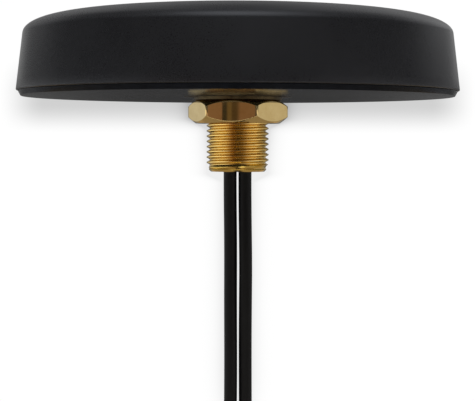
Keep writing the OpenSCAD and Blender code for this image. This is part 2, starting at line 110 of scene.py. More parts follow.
def make_object(name, verts, faces, sharp=32):
    """A mesh object from millimetre vertices, smooth except at edges sharper than the given degrees."""
    mesh = bpy.data.meshes.new(name)
    mesh.from_pydata([Vector(v) * MM for v in verts], [], faces)
    obj = bpy.data.objects.new(name, mesh)
    scene.collection.objects.link(obj)
    tidy_normals(obj, sharp)
    return obj


def tidy_normals(obj, sharp=32):
    """Turns all faces outwards, and shades them smooth except at edges sharper than the given degrees."""
    bm = bmesh.new()
    bm.from_mesh(obj.data)
    bmesh.ops.recalc_face_normals(bm, faces=bm.faces)
    bm.to_mesh(obj.data)
    bm.free()
    obj.data.shade_smooth()
    obj.data.set_sharp_from_angle(angle=math.radians(sharp))


def rounded(points, steps=5):
    """A closed outline of (r, z, radius) corners, with each corner rounded to its radius."""
    outline = []
    count = len(points)
    for i, (r, z, radius) in enumerate(points):
        corner = Vector((r, z))
        if radius == 0:
            outline.append(corner)
            continue
        back = (Vector(points[i - 1][:2]) - corner).normalized()
        ahead = (Vector(points[(i + 1) % count][:2]) - corner).normalized()
        half = back.angle(ahead) / 2
        centre = corner + (back + ahead).normalized() * (radius / math.sin(half))
        start = corner + back * (radius / math.tan(half)) - centre
        end = corner + ahead * (radius / math.tan(half)) - centre
        turn = math.atan2(start.x * end.y - start.y * end.x, start.dot(end))
        for k in range(steps + 1):
            outline.append(centre + Matrix.Rotation(turn * k / steps, 2) @ start)
    return outline


def lathe(outline, sides=192, centre=(0, 0)):
    """Vertices and faces of a closed outline of (r, z) turned about a vertical axis."""
    verts, faces, rings = [], [], []
    for r, z in outline:
        if abs(r) < 1e-6:
            rings.append([len(verts)] * sides)
            verts.append((centre[0], centre[1], z))
            continue
        rings.append(range(len(verts), len(verts) + sides))
        for k in range(sides):
            angle = 2 * math.pi * k / sides
            verts.append((centre[0] + r * math.cos(angle), centre[1] + r * math.sin(angle), z))
    for low, high in zip(rings, rings[1:] + rings[:1]):
        add_band(faces, low, high)
    return verts, faces


def add_band(faces, low, high):
    """Faces between two rings of as many vertices, leaving out those that have shrunk to a line."""
    count = len(low)
    for k in range(count):
        after = (k + 1) % count
        face = []
        for v in (low[k], low[after], high[after], high[k]):
            if v not in face:
                face.append(v)
        if len(face) > 2:
            faces.append(face)


def sweep(name, points, radius, sides=32):
    """A round bar of the given radius along a path in millimetres."""
    verts, faces, rings = [], [], []
    side = Vector((1, 0, 0))
    for i, point in enumerate(points):
        ahead = points[min(i + 1, len(points) - 1)] - points[max(i - 1, 0)]
        ahead.normalize()
        side = (side - ahead * side.dot(ahead)).normalized()
        other = ahead.cross(side)
        rings.append(range(len(verts), len(verts) + sides))
        for k in range(sides):
            angle = 2 * math.pi * k / sides
            verts.append(point + (side * math.cos(angle) + other * math.sin(angle)) * radius)
    for low, high in zip(rings, rings[1:]):
        add_band(faces, low, high)
    faces.append(list(rings[0])[::-1])
    faces.append(list(rings[-1]))
    return make_object(name, verts, faces)


def helical_band(verts, faces, profile, low_z, high_z, limit, sides, start=0.0, pitch=PITCH, centre=(0, 0)):
    """Adds a screw thread's surface between two heights, and returns its two end rings.

    profile holds (height, radius) over one pitch. Every row of vertices follows the helix, and a row that
    leaves the band stays on its end ring. limit(z, r) gives the radius where the thread is cut back.
    """
    per_pitch = len(profile)
    turns = math.ceil((high_z - low_z) / pitch) + 3
    base = (math.floor(low_z / pitch) - 2) * pitch
    low_ring, high_ring, columns = [], [], []
    for i in range(sides):
        angle = start + 2 * math.pi * i / sides
        along = Vector((math.cos(angle), math.sin(angle), 0))

        def vertex(z, r):
            verts.append(along * limit(z, r) + Vector((centre[0], centre[1], z)))
            return len(verts) - 1

        low_ring.append(vertex(low_z, 0))
        high_ring.append(vertex(high_z, 0))
        column = []
        for j in range(turns * per_pitch):
            height, r = profile[j % per_pitch]
            z = base + pitch * (j // per_pitch + angle / (2 * math.pi)) + height
            if z < low_z + 0.01:
                column.append(low_ring[i])
            elif z > high_z - 0.01:
                column.append(high_ring[i])
            else:
                column.append(vertex(z, r))
        columns.append(column)
    for i in range(sides):
        here, there = columns[i], columns[(i + 1) % sides]
        step = per_pitch if i == sides - 1 else 0
        for j in range(len(here) - 1 - step):
            face = []
            for v in (here[j], there[j + step], there[j + step + 1], here[j + 1]):
                if v not in face:
                    face.append(v)
            if len(face) > 2:
                faces.append(face)
    return low_ring, high_ring


def add_ring(verts, sides, start, radius, height, centre=(0, 0)):
    """Adds a ring of vertices and returns their numbers. radius and height may depend on the angle."""
    ring = []
    for i in range(sides):
        angle = start + 2 * math.pi * i / sides
        r = radius(angle) if callable(radius) else radius
        z = height(angle) if callable(height) else height
        verts.append((centre[0] + r * math.cos(angle), centre[1] + r * math.sin(angle), z))
        ring.append(len(verts) - 1)
    return ring


def hexagon(across_flats, turn):
    """The radius of a hexagon at each angle, for one with a corner at the angle turn."""
    def radius(angle):
        from_flat = (angle - turn) % (math.pi / 3) - math.pi / 6
        return across_flats / 2 / math.cos(from_flat)
    return radius


def bevel_edges(obj, chosen, width, segments=2):
    """Rounds the edges for which chosen(edge centre in millimetres, angle between its faces) is true."""
    bm = bmesh.new()
    bm.from_mesh(obj.data)
    edges = []
    for edge in bm.edges:
        if not edge.is_manifold:
            continue
        middle = (edge.verts[0].co + edge.verts[1].co) / 2 / MM
        if chosen(middle, math.degrees(edge.calc_face_angle(0))):
            edges.append(edge)
    bmesh.ops.bevel(bm, geom=edges, offset=width * MM, segments=segments, profile=0.5,
                    affect="EDGES", clamp_overlap=True)
    bm.to_mesh(obj.data)
    bm.free()
    tidy_normals(obj)
    flatten_faces(obj)


def apply_modifiers(obj):
    graph = bpy.context.evaluated_depsgraph_get()
    mesh = bpy.data.meshes.new_from_object(obj.evaluated_get(graph))
    obj.modifiers.clear()
    obj.data = mesh


def flatten_faces(obj):
    """Keeps large flat faces flat in shading, so that only the rounded edges between them curve."""
    modifier = obj.modifiers.new("flat", "WEIGHTED_NORMAL")
    modifier.keep_sharp = True
    apply_modifiers(obj)


# ---------------------------------------------------------------- material helpers

class Nodes:
    """Short calls for the nodes used here, in one node tree."""

    def __init__(self, tree):
        self.tree = tree

    def node(self, kind, inputs=None, **settings):
        made = self.tree.nodes.new(kind)
        for key, value in settings.items():
            setattr(made, key, value)
        for key, value in (inputs or {}).items():
            self.set(made.inputs[key], value)
        return made

    def set(self, socket, value):
        """Links an output to the socket, or gives it a plain value. Colours are three numbers."""
        if isinstance(value, bpy.types.NodeSocket):
            self.tree.links.new(value, socket)
        elif socket.type == "RGBA":
            socket.default_value = (*value, 1.0)
        else:
            socket.default_value = value

    def math(self, operation, a, b=0.0):
        return self.node("ShaderNodeMath", {0: a, 1: b}, operation=operation).outputs[0]

    def vector(self, operation, a, b=(0, 0, 0), scale=1.0):
        made = self.node("ShaderNodeVectorMath", {0: a, 1: b, 3: scale}, operation=operation)
        return made.outputs[1 if operation in ("LENGTH", "DOT_PRODUCT") else 0]

    def split(self, value):
        return self.node("ShaderNodeSeparateXYZ", {0: value}).outputs

    def join(self, x, y, z):
        return self.node("ShaderNodeCombineXYZ", {0: x, 1: y, 2: z}).outputs[0]

    def ramp(self, value, low, high, to_low=0.0, to_high=1.0, smooth=False):
        """Goes from to_low to to_high as value goes from low to high, and stays level beyond them."""
        kind = "SMOOTHSTEP" if smooth else "LINEAR"
        made = self.node("ShaderNodeMapRange", {0: value, 1: low, 2: high, 3: to_low, 4: to_high},
                         interpolation_type=kind)
        return made.outputs[0]

    def mix(self, share, a, b, blend="MIX"):
        """Colour a where share is 0, and colour b where it is 1."""
        mixed = self.node("ShaderNodeMix", {0: share, 6: a, 7: b}, data_type="RGBA", blend_type=blend)
        return mixed.outputs[2]


class Shader(Nodes):
    """A node material. Heights and sizes are in millimetres."""

    def __init__(self, name):
        self.material = bpy.data.materials.new(name)
        self.material.use_nodes = True
        super().__init__(self.material.node_tree)
        self.bsdf = self.tree.nodes["Principled BSDF"]
        self.output = self.tree.nodes["Material Output"]
        coordinates = self.node("ShaderNodeTexCoord")
        self.place = self.vector("SCALE", coordinates.outputs["Object"], scale=1 / MM)

    def noise(self, size, stretch=(1, 1, 1), detail=3.0, roughness=0.55, place=None):
        """Noise from 0 to 1 whose features are about size millimetres, times stretch along each axis."""
        factors = tuple(1 / (size * s) for s in stretch)
        at = self.vector("MULTIPLY", place or self.place, factors)
        made = self.node("ShaderNodeTexNoise", {"Vector": at, "Scale": 1.0, "Detail": detail,
                                                "Roughness": roughness})
        return made.outputs["Fac"]

    def bump(self, height, depth, strength=1.0, under=None):
        """Bumps whose full height is depth millimetres."""
        inputs = {"Height": height, "Distance": depth * MM, "Strength": strength}
        if under is not None:
            inputs["Normal"] = under
        return self.node("ShaderNodeBump", inputs).outputs[0]

    def turned(self, axis=(0, 0)):
        """Coordinates (radius, turn, height) about an upright axis, for marks left by a lathe."""
        x, y, z = self.split(self.place)
        x = self.math("SUBTRACT", x, axis[0])
        y = self.math("SUBTRACT", y, axis[1])
        radius = self.vector("LENGTH", self.join(x, y, 0.0))
        return self.join(radius, self.math("ARCTAN2", y, x), z)

    def finish(self, color, roughness, metallic=0.0, normal=None, **others):
        values = {"Base Color": color, "Roughness": roughness, "Metallic": metallic, **others}
        if normal is not None:
            values["Normal"] = normal
        for key, value in values.items():
            self.set(self.bsdf.inputs[key], value)
        return self.material

    def finish_sheet(self, surface, hidden):
        """Ends a staged sheet's material with a surface that turns clear as hidden goes from 0 to 1."""
        clear = self.node("ShaderNodeBsdfTransparent").outputs[0]
        mixed = self.node("ShaderNodeMixShader", {0: hidden, 1: surface, 2: clear}).outputs[0]
        self.set(self.output.inputs[0], mixed)
        return self.material


def moulded(name, dark, light, rough, grain=0.12, depth=0.012, mottle=3.0, scratches=0.0, specular=0.5,
            tint=(1, 1, 1)):
    """Moulded plastic or rubber: faint clouding, a fine grain and, if asked for, hairline scratches.

    grain and mottle are the sizes of the grain and the clouds, and depth is the grain's height.
    """
    s = Shader(name)
    cloud = s.noise(mottle, detail=4)
    color = s.mix(s.ramp(cloud, 0.35, 0.65), dark, light)
    fine = s.noise(grain, detail=2)
    roughness = s.math("ADD", s.ramp(fine, 0.3, 0.7, rough - 0.04, rough + 0.04),
                       s.ramp(cloud, 0.3, 0.7, -0.03, 0.03))
    normal = s.bump(fine, depth)
    if scratches:
        marks = hairlines(s)
        color = s.mix(s.math("MULTIPLY", marks, scratches), color, tuple(c * 2.5 + 0.03 for c in light))
        normal = s.bump(s.math("SUBTRACT", 1.0, marks), 0.01, scratches, under=normal)
    shine = {"Specular IOR Level": specular, "Specular Tint": tint}
    return s.finish(color, roughness, normal=normal, **shine)


def hairlines(s):
    """A sparse mask of thin scratches in two directions."""
    masks = []
    for stretch, tilt in (((40, 1, 1), 0.5), ((1, 30, 1), -0.8)):
        turned = s.node("ShaderNodeVectorRotate", {"Vector": s.place, "Angle": tilt},
                        rotation_type="Z_AXIS").outputs[0]
        lines = s.ramp(s.noise(0.35, stretch, detail=1, place=turned), 0.735, 0.76)
        patches = s.ramp(s.noise(9.0, detail=1, place=turned), 0.5, 0.62)
        masks.append(s.math("MULTIPLY", lines, patches))
    return s.math("MAXIMUM", *masks)


def metal(name, dark, light, rough, turned=None, marks=0.5, depth=0.006, tarnish=0.0, spots=4.0):
    """Metal with machining marks, turned about an axis or lying in all directions, and uneven tarnish."""
    s = Shader(name)
    place = s.turned(turned) if turned is not None else s.place
    stretch = (1, 60, 1) if turned is not None else (1, 1, 1)
    fine = s.noise(0.09, stretch, detail=3, place=place)
    cloud = s.noise(spots, detail=5)
    share = s.math("ADD", s.ramp(cloud, 0.3, 0.7, 0, 1 - marks), s.ramp(fine, 0.3, 0.7, 0, marks))
    color = s.mix(share, dark, light)
    if tarnish:
        stain = s.ramp(s.noise(spots * 0.6, detail=6, roughness=0.7), 0.52, 0.72)
        color = s.mix(s.math("MULTIPLY", stain, tarnish), color, tuple(c * 0.45 for c in dark))
    roughness = s.math("ADD", s.ramp(fine, 0.25, 0.75, rough - 0.06, rough + 0.06),
                       s.ramp(cloud, 0.3, 0.7, -0.04, 0.06))
    return s.finish(color, roughness, 1.0, s.bump(fine, depth))


# ---------------------------------------------------------------- materials

HOUSING = moulded("housing_plastic", (0.013, 0.013, 0.0143), (0.0154, 0.0154, 0.0168), 0.3,
                  grain=0.16, depth=0.012, mottle=14.0, scratches=0.2, tint=(0.93, 0.98, 1.08))
BASE = moulded("base_plastic", (0.012, 0.012, 0.013), (0.018, 0.018, 0.019), 0.5, grain=0.2)
GASKET = moulded("gasket_rubber", (0.0053, 0.0059, 0.0076), (0.0083, 0.0092, 0.0114), 0.2,
                 grain=0.25, depth=0.004, mottle=2.5, specular=0.14, tint=(0.8, 0.95, 1.3))
SEAL = moulded("seal_rubber", (0.05, 0.022, 0.016), (0.075, 0.034, 0.024), 0.45, mottle=1.5)
JACKET = moulded("cable_jacket", (0.0038, 0.0039, 0.0043), (0.0052, 0.0054, 0.0058), 0.42,
                 grain=0.1, depth=0.005, mottle=2.0, specular=0.25)
SHRINK = moulded("heat_shrink", (0.012, 0.012, 0.012), (0.019, 0.019, 0.02), 0.5, grain=0.18, depth=0.012)
GROMMET = moulded("grommet_rubber", (0.012, 0.012, 0.012), (0.02, 0.02, 0.02), 0.6)
RESIN = moulded("potting_resin", (0.05, 0.045, 0.035), (0.085, 0.078, 0.06), 0.22, grain=0.5, mottle=1.2)
TAPE = moulded("foam_tape", (0.55, 0.52, 0.44), (0.68, 0.65, 0.57), 0.8, grain=0.15, depth=0.05)
CARRIER = moulded("carrier_plastic", (0.55, 0.53, 0.47), (0.66, 0.64, 0.57), 0.45)
CLAMP = moulded("clamp_plastic", (0.02, 0.02, 0.022), (0.03, 0.03, 0.032), 0.45)
SILICONE = moulded("silicone_red", (0.34, 0.05, 0.03), (0.46, 0.08, 0.05), 0.4, mottle=1.0)
PTFE = moulded("ptfe_white", (0.78, 0.77, 0.73), (0.88, 0.87, 0.84), 0.32, grain=0.2, depth=0.004)
CHIP = moulded("chip_epoxy", (0.02, 0.02, 0.021), (0.035, 0.035, 0.036), 0.5, grain=0.08)
CHIP_CERAMIC = moulded("chip_ceramic", (0.26, 0.18, 0.11), (0.38, 0.28, 0.19), 0.4, grain=0.1, mottle=0.5)
CERAMIC = moulded("patch_ceramic", (0.5, 0.42, 0.31), (0.62, 0.54, 0.42), 0.55, grain=0.15, depth=0.01,
                  mottle=1.5)
TIN = metal("tin_plate", (0.5, 0.51, 0.52), (0.72, 0.73, 0.73), 0.32, marks=0.3)
ZINC = metal("zinc_plate", (0.48, 0.5, 0.52), (0.68, 0.69, 0.7), 0.3, turned=(0, 0), tarnish=0.2)
SILVER = metal("silver_plate", (0.72, 0.72, 0.7), (0.86, 0.86, 0.84), 0.24, marks=0.4, tarnish=0.15)
SPRING = metal("spring_strip", (0.6, 0.42, 0.18), (0.76, 0.57, 0.28), 0.28, tarnish=0.35)
WASHER = metal("washer_bronze", (0.05, 0.038, 0.022), (0.24, 0.18, 0.09), 0.3, turned=(0, 0),
               tarnish=0.6, spots=1.6)


def plated_nut():
    """Pale brass, machined in fine level lines, dulled a little in patches."""
    s = Shader("nut_brass")
    lines = s.noise(0.06, (60, 60, 1), detail=2)
    fine = s.noise(0.16, (1, 1, 0.6), detail=4, roughness=0.65)
    cloud = s.noise(2.2, detail=5)
    color = s.mix(s.ramp(cloud, 0.3, 0.7), (0.8, 0.6, 0.25), (0.9, 0.7, 0.32))
    color = s.mix(s.ramp(fine, 0.5, 0.8, 0, 0.35), color, (0.6, 0.4, 0.16))
    color = s.mix(s.ramp(lines, 0.5, 0.75, 0, 0.3), color, (0.62, 0.45, 0.18))
    roughness = s.math("ADD", s.ramp(fine, 0.5, 0.8, 0.01, 0.05), s.ramp(cloud, 0.6, 0.8, 0.0, 0.02))
    return s.finish(color, roughness, 1.0)


def threaded_brass():
    """Bright turned brass: clean crests and roots, with painted shade on the flanks between them, in a
    darker, more saturated colour.
    """
    s = Shader("stud_brass")
    place = s.turned()
    fine = s.noise(0.07, (1, 80, 1), detail=3, place=place)
    cloud = s.noise(2.5, detail=5)
    radius = s.split(place)[0]
    color = s.mix(s.ramp(fine, 0.3, 0.7), (0.89, 0.63, 0.2), (0.95, 0.7, 0.25))
    color = s.mix(s.ramp(cloud, 0.5, 0.75, 0, 0.3), color, (0.78, 0.51, 0.16))
    off_root = s.ramp(radius, STUD_ROOT_R + 0.04, STUD_ROOT_R + 0.1)
    off_crest = s.ramp(radius, STUD_R - 0.12, STUD_R - 0.05, 1, 0)
    flank = s.math("MULTIPLY", off_root, off_crest)
    # Painted shade: the flanks get a darker, more saturated colour. They are also made rougher.
    color = s.mix(s.math("MULTIPLY", flank, 0.8), color, (0.74, 0.51, 0.11))
    roughness = s.math("ADD", s.ramp(fine, 0.25, 0.75, 0.08, 0.13), s.math("MULTIPLY", flank, 0.08))
    roughness = s.math("ADD", roughness, s.ramp(cloud, 0.4, 0.7, 0, 0.06))
    return s.finish(color, roughness, 1.0, s.bump(fine, 0.0007))


def circuit_board():
    """Green solder mask over copper tracks and the laminate's weave, and bare laminate at the cut edge."""
    s = Shader("circuit_board")
    x, y, _ = s.split(s.place)
    cells = s.node("ShaderNodeTexVoronoi", {"Vector": s.join(x, y, 0.0), "Scale": 0.42},
                   distance="CHEBYCHEV", feature="F1")
    tracks = s.ramp(cells.outputs["Distance"], 0.42, 0.46)
    weave = s.math("MULTIPLY", s.math("SINE", s.math("MULTIPLY", x, 14.0)),
                   s.math("SINE", s.math("MULTIPLY", y, 14.0)))
    mask = s.mix(s.ramp(weave, -1, 1), (0.012, 0.11, 0.035), (0.018, 0.14, 0.048))
    mask = s.mix(s.math("MULTIPLY", tracks, 0.8), mask, (0.03, 0.22, 0.07))
    radius = s.vector("LENGTH", s.join(x, y, 0.0))
    color = s.mix(s.ramp(radius, BOARD_R - 0.08, BOARD_R - 0.04), mask, (0.5, 0.45, 0.26))
    normal = s.bump(s.math("ADD", s.math("MULTIPLY", tracks, 0.8), s.math("MULTIPLY", weave, 0.1)), 0.04)
    return s.finish(color, s.ramp(s.noise(1.5), 0.3, 0.7, 0.22, 0.34), normal=normal)


def braid():
    """Woven copper wire round a cable that runs along Y."""
    s = Shader("copper_braid")
    x, y, z = s.split(s.place)
    across = s.math("SUBTRACT", s.math("ABSOLUTE", x), LEAD_X)
    turn = s.math("ARCTAN2", across, s.math("SUBTRACT", z, LEAD_INNER_Z))
    strands = []
    for lean in (1.0, -1.0):
        phase = s.math("ADD", s.math("MULTIPLY", turn, 8.0), s.math("MULTIPLY", y, 9.0 * lean))
        strands.append(s.ramp(s.math("SINE", phase), -1, 1))
    height = s.math("MAXIMUM", *strands)
    # Painted shade: the copper darkens in the gaps between the strands.
    color = s.mix(s.ramp(height, 0.5, 1.0), (0.3, 0.13, 0.06), (0.85, 0.5, 0.34))
    return s.finish(color, s.ramp(s.noise(0.3), 0.3, 0.7, 0.25, 0.4), 1.0, s.bump(height, 0.08))


def gold(name, axis):
    return metal(name, (0.72, 0.47, 0.14), (0.9, 0.65, 0.26), 0.2, turned=axis, marks=0.35, tarnish=0.12)


NUT_METAL = plated_nut()
STUD_METAL = threaded_brass()
BOARD = circuit_board()
BRAID = braid()
GOLD = {lead: gold(f"gold_plate_{lead}", (side * PLUG_X, 0)) for lead, side in SIDES.items()}

NODE_MATERIALS = {
    "base_plate": BASE,
    "cover_seal": SEAL,
    "stud_seal": SEAL,
    "housing_screws": ZINC,
    "grommet": GROMMET,
    "potting": RESIN,
    "lock_washer": WASHER,
    "board": BOARD,
    "board_screws": ZINC,
    "patch_tape": TAPE,
    "patch_ceramic": CERAMIC,
    "patch_electrode": SILVER,
    "feed_pin": TIN,
    "lna_shield": TIN,
    "lna_components": CHIP,
    "matching_components": CHIP_CERAMIC,
    "radiator": SPRING,
    "radiator_carrier": CARRIER,
    "cable_clamps": CLAMP,
    "clamp_screws": ZINC,
    "ground_clips": TIN,
    "coax_braids": BRAID,
    "coax_dielectrics": PTFE,
    "coax_conductors": SILVER,
    "solder_joints": TIN,
}
for lead in SIDES:
    NODE_MATERIALS[f"{lead}_ferrule"] = GOLD[lead]
    NODE_MATERIALS[f"{lead}_plug_body"] = GOLD[lead]
    NODE_MATERIALS[f"{lead}_insulator"] = PTFE
    NODE_MATERIALS[f"{lead}_contact"] = GOLD[lead]
    NODE_MATERIALS[f"{lead}_retaining_ring"] = SPRING
    NODE_MATERIALS[f"{lead}_face_seal"] = SILICONE


def dress(obj, material):
    """Puts one material on the whole object."""
    obj.data.materials.clear()
    obj.data.materials.append(material)


for node, material in NODE_MATERIALS.items():
    dress(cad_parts[node], material)


def add_piece(obj, material, body, slot, *nodes):
    """Dresses a new piece and lets it stand for CAD nodes. A piece without a body is left unattached."""
    dress(obj, material)
    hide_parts(*nodes)
    if body is not None:
        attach(obj, body)
    return obj


# ---------------------------------------------------------------- housing

def cap_outline(inset, shoulder_steps, crown_steps):
    """Shoulder and crown of the cover, moved in by inset, from the side wall up to the axis.

    It leaves out the shoulder's first points, which are steeper than the side wall.
    """
    outline = []
    across = SIDE_TOP_R - inset - CROWN_R
    up = CROWN_Z - inset - SIDE_TOP_Z
    for i in range(shoulder_steps // 24, shoulder_steps + 1):
        t = math.pi / 2 * i / shoulder_steps
        outline.append((CROWN_R + across * max(math.cos(t), 0.0) ** (2 / SHOULDER_POWER),
                        SIDE_TOP_Z + up * math.sin(t) ** (2 / SHOULDER_POWER)))
    for i in range(1, crown_steps + 1):
        share = 1 - i / crown_steps
        outline.append((CROWN_R * share, HOUSING_TOP - inset - (HOUSING_TOP - CROWN_Z) * share ** 2))
    return outline


def side_radius(z):
    """Radius of the cover's leaning side at a height."""
    return HOUSING_R - (HOUSING_R - SIDE_TOP_R) * (z - HOUSING_LOW) / (SIDE_TOP_Z - HOUSING_LOW)


def make_cover():
    """The cover's shell, with its screw bosses and their ribs joined on inside."""
    ledge_top = LEDGE_Z + 1.2
    boss_r, boss_top = 2.6, 13.6
    hole_r, hole_top = 1.3, 9.0
    rib_from_r, rib_half = 36.4, 0.6
    rib_ends = ((LEDGE_Z + 0.7, 39.9), (SIDE_TOP_Z, 39.6))
    corners = rounded([(SKIRT_R, HOUSING_LOW, 0.1), (HOUSING_R, HOUSING_LOW, 0.25), (side_radius(3), 3.0, 0),
                       (SKIRT_R, LEDGE_Z, 0)])
    skirt, lip = corners[:6], corners[6:13]
    outline = [tuple(p) for p in lip] + cap_outline(0, 56, 20) + cap_outline(WALL, 24, 12)[::-1]
    outline += [(side_radius(ledge_top) - WALL, ledge_top), (LEDGE_R, ledge_top), (LEDGE_R, LEDGE_Z),
                (SKIRT_R, LEDGE_Z)]
    outline += [tuple(p) for p in skirt]
    shell = make_object("cover_shell", *lathe(outline, 256), sharp=30)
    boss = [(hole_r, LEDGE_Z), (boss_r, LEDGE_Z), (boss_r, boss_top), (0, boss_top), (0, hole_top),
            (hole_r, hole_top)]
    box_faces = [(0, 3, 2, 1), (4, 5, 6, 7), (0, 1, 5, 4), (1, 2, 6, 5), (2, 3, 7, 6), (3, 0, 4, 7)]
    verts, faces = [], []
    for k in range(6):
        angle = math.radians(30 + 60 * k)
        out = Vector((math.cos(angle), math.sin(angle), 0))
        across = Vector((-math.sin(angle), math.cos(angle), 0))
        add_part(verts, faces, *lathe(boss, 40, (out.x * SCREW_CIRCLE_R, out.y * SCREW_CIRCLE_R)))
        rib = []
        for z, rib_to_r in rib_ends:
            for r, aside in ((rib_from_r, -rib_half), (rib_to_r, -rib_half), (rib_to_r, rib_half),
                             (rib_from_r, rib_half)):
                rib.append(out * r + across * aside + Vector((0, 0, z)))
        add_part(verts, faces, rib, box_faces)
    join_solid(shell, make_object("cover_bosses", verts, faces))
    return shell


def add_part(verts, faces, more_verts, more_faces):
    """Adds a separate shell to a mesh being built."""
    base = len(verts)
    verts.extend(more_verts)
    faces.extend([[base + v for v in face] for face in more_faces])


def join_solid(target, other):
    """Adds other's volume to target's, and removes other."""
    modifier = target.modifiers.new("join", "BOOLEAN")
    modifier.operation = "UNION"
    modifier.solver = "EXACT"
    modifier.use_self = True
    modifier.object = other
    apply_modifiers(target)
    bpy.data.objects.remove(other)
    target.data.shade_smooth()
    target.data.set_sharp_from_angle(angle=math.radians(30))


def make_gasket():
    """The gasket, whose edge slants out from the panel towards the cover's lip."""
    low, high = span("gasket")
    bottom_r, top_r = high.x + 0.12, high.x + 0.62
    outline = rounded([(GASKET_HOLE_R, high.z, 0.08), (GASKET_HOLE_R, low.z, 0.15), (bottom_r, low.z, 0.12),
                       (top_r, high.z, 0.08)])
    return make_object("gasket_ring", *lathe(outline, 224))


add_piece(make_cover(), HOUSING, "housing", "housing_plastic", "cover")
add_piece(make_gasket(), GASKET, "housing", "gasket_rubber", "gasket")


# ---------------------------------------------------------------- stud and nut

THREAD_SIDES = 144
FLANK = (STUD_R - STUD_ROOT_R) * math.tan(math.radians(30))
CREST = 0.09
ROOT_AT = CREST + FLANK
THREAD_PROFILE = [
    (0.0, STUD_R), (CREST, STUD_R - 0.004),
    (ROOT_AT - 0.04, STUD_ROOT_R + 0.04), (ROOT_AT + 0.04, STUD_ROOT_R),
    (PITCH - ROOT_AT - 0.04, STUD_ROOT_R), (PITCH - ROOT_AT + 0.04, STUD_ROOT_R + 0.04),
    (PITCH - CREST, STUD_R - 0.004),
]


def make_stud():
    """Hollow stud with a real helical thread, a plain chamfered tip and the hexagonal flange inside."""
    crest_from = STUD_END + 1.1
    tip_slope, run_out_slope = 1.4, 2
    thread_low, thread_high = STUD_END + 0.62, HOUSING_LOW
    flange_low, flange_high = 1.73, 3.1
    flat = hexagon(STUD_FLANGE_AF, 0.0)

    def limit(z, r):
        """The crest shrinks towards the tip, and the groove runs out under the housing."""
        if z <= thread_low:
            return STUD_ROOT_R
        crest = STUD_TIP_R + max(0.0, z - crest_from) * tip_slope
        root = STUD_R - max(0.0, thread_high - z) * run_out_slope
        return min(max(r, root), crest, STUD_R)

    def chamfered_flat(angle):
        return flat(angle) - 0.12

    verts, faces = [], []
    low, high = helical_band(verts, faces, THREAD_PROFILE, thread_low, thread_high, limit, THREAD_SIDES)
    rings = [low]
    for radius, z in ((STUD_TIP_R - 0.02, STUD_END + 0.52), (STUD_TIP_R, STUD_END + 0.48),
                      (STUD_TIP_R - 0.03, STUD_END + 0.36), (STUD_TIP_R - 0.36, STUD_END + 0.03),
                      (STUD_TIP_R - 0.42, STUD_END), (BORE_R + 0.25, STUD_END),
                      (BORE_R + 0.05, STUD_END + 0.08), (BORE_R, STUD_END + 0.25), (BORE_R, 2.5),
                      (BORE_R + 0.04, 2.62), (BORE_R + 0.48, 3.06), (BORE_R + 0.55, flange_high),
                      (chamfered_flat, flange_high), (flat, flange_high - 0.12), (flat, flange_low + 0.12),
                      (chamfered_flat, flange_low), (STUD_R, flange_low)):
        rings.append(add_ring(verts, THREAD_SIDES, 0.0, radius, z))
    rings.append(high)
    for one, two in zip(rings, rings[1:]):
        add_band(faces, one, two)
    return make_object("threaded_stud", verts, faces, sharp=24)


def make_nut():
    """Chamfered hex nut whose thread matches the stud's."""
    play = 0.05
    sink_r = STUD_R + 0.45
    outside_r = 7.5
    hex_radius = hexagon(NUT_AF, NUT_TURN)

    def limit(z, r):
        """The thread is countersunk at both faces."""
        return max(r + play, sink_r - (z - NUT_LOW), sink_r - (NUT_HIGH - z), 0)

    def drop(angle):
        """How far below the nut's face its chamfer meets its side."""
        return (hex_radius(angle) - NUT_CHAMFER_R) * NUT_CHAMFER

    verts, faces = [], []
    low, high = helical_band(verts, faces, THREAD_PROFILE, NUT_LOW, NUT_HIGH, limit, THREAD_SIDES, NUT_TURN)
    rings = [high]
    for radius, z in ((NUT_CHAMFER_R, NUT_HIGH), (hex_radius, lambda a: NUT_HIGH - drop(a)),
                      (hex_radius, lambda a: NUT_LOW + drop(a)), (NUT_CHAMFER_R, NUT_LOW)):
        rings.append(add_ring(verts, THREAD_SIDES, NUT_TURN, radius, z))
    rings.append(low)
    for one, two in zip(rings, rings[1:]):
        add_band(faces, one, two)
    nut = make_object("nut", verts, faces, sharp=24)
    bevel_edges(nut, lambda at, angle: angle > 20 and math.hypot(at.x, at.y) > outside_r, 0.09)
    return nut


add_piece(make_stud(), STUD_METAL, "housing", "brass", "stud")
add_piece(make_nut(), NUT_METAL, "nut", "plated_brass", "hex_nut")


# ---------------------------------------------------------------- leads

def bend_points(centre, radius, start, end, axes, steps):
    """Points of an arc in the plane of two axes, from one angle in degrees to another."""
    points = []
    for k in range(1, steps + 1):
        angle = math.radians(start + (end - start) * k / steps)
        points.append(Vector(centre) + (axes[0] * math.cos(angle) + axes[1] * math.sin(angle)) * radius)
    return points


def straight(start, end, step=0.6):
    count = max(1, round((Vector(end) - Vector(start)).length / step))
    return [Vector(start).lerp(Vector(end), k / count) for k in range(1, count + 1)]


def lead_path(side):
    """Centre line of one lead, from its cut end under the board to its end in the plug."""
    x = side * LEAD_X
    along, out, up = Vector((0, side, 0)), Vector((side, 0, 0)), Vector((0, 0, 1))
    bend_r, spread_r = 3.6, 12.0
    spread_z = -58.0
    spread = math.degrees(math.atan2(3, 4))
    path = [Vector((x, side * 15.0, LEAD_INNER_Z))]
    path += straight(path[-1], (x, side * bend_r, LEAD_INNER_Z))
    path += bend_points((x, side * bend_r, LEAD_INNER_Z - bend_r), bend_r, 90, 180, (along, up), 16)
    path += straight(path[-1], (x, 0, spread_z))
    path += bend_points((x + side * spread_r, 0, spread_z), spread_r, 180, 180 + spread, (out, up), 16)
    back = Vector((side * 0.8, 0, 0.6)) * spread_r
    path += bend_points(path[-1] - back, spread_r, spread, 0, (out, up), 16)
    path += straight(path[-1], (side * PLUG_X, 0, BOOT_Z))
    return [p + drift(p, side) for p in path]


